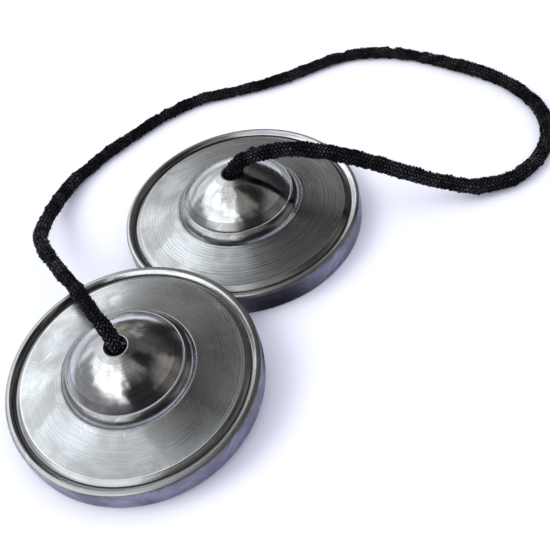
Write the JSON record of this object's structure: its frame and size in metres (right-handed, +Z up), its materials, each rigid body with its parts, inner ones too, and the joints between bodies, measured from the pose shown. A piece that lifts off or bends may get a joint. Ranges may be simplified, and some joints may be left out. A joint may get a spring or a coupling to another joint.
{
  "type": "finger cymbals",
  "caption": "Pair of small thick domed hand cymbals with raised lips, joined by a black braided cord knotted inside each dome; struck rim to rim they ring.",
  "frame": {"origin": "on the surface the pair lies on, midway between the two cymbals", "axes": "+Z up, +Y from the front cymbal to the rear one, +X to the right of them"},
  "size_m": [0.1297, 0.1739, 0.0306],
  "materials": {
    "bell_metal": "silver-grey cast bell metal: brushed turned plate, polished dome",
    "black_cord": "black braided cotton, matte and slightly fuzzy"
  },
  "bodies": {
    "cord_and_knots": {"cord": "black_cord", "front_knot": "black_cord", "rear_knot": "black_cord"},
    "front_disc": {"front_cymbal": "bell_metal"},
    "rear_disc": {"rear_cymbal": "bell_metal"}
  },
  "joints": [
    {"name": "front_spin", "type": "hinge", "parent": "cord_and_knots", "child": "front_disc", "pos_m": [0.0006, -0.03322, 0.02421], "axis": [0.0295, -0.1182, 0.9925], "continuous": true},
    {"name": "rear_spin", "type": "hinge", "parent": "cord_and_knots", "child": "rear_disc", "pos_m": [0, 0.0308, 0.0205], "axis": [0, 0, 1], "continuous": true}
  ]
}
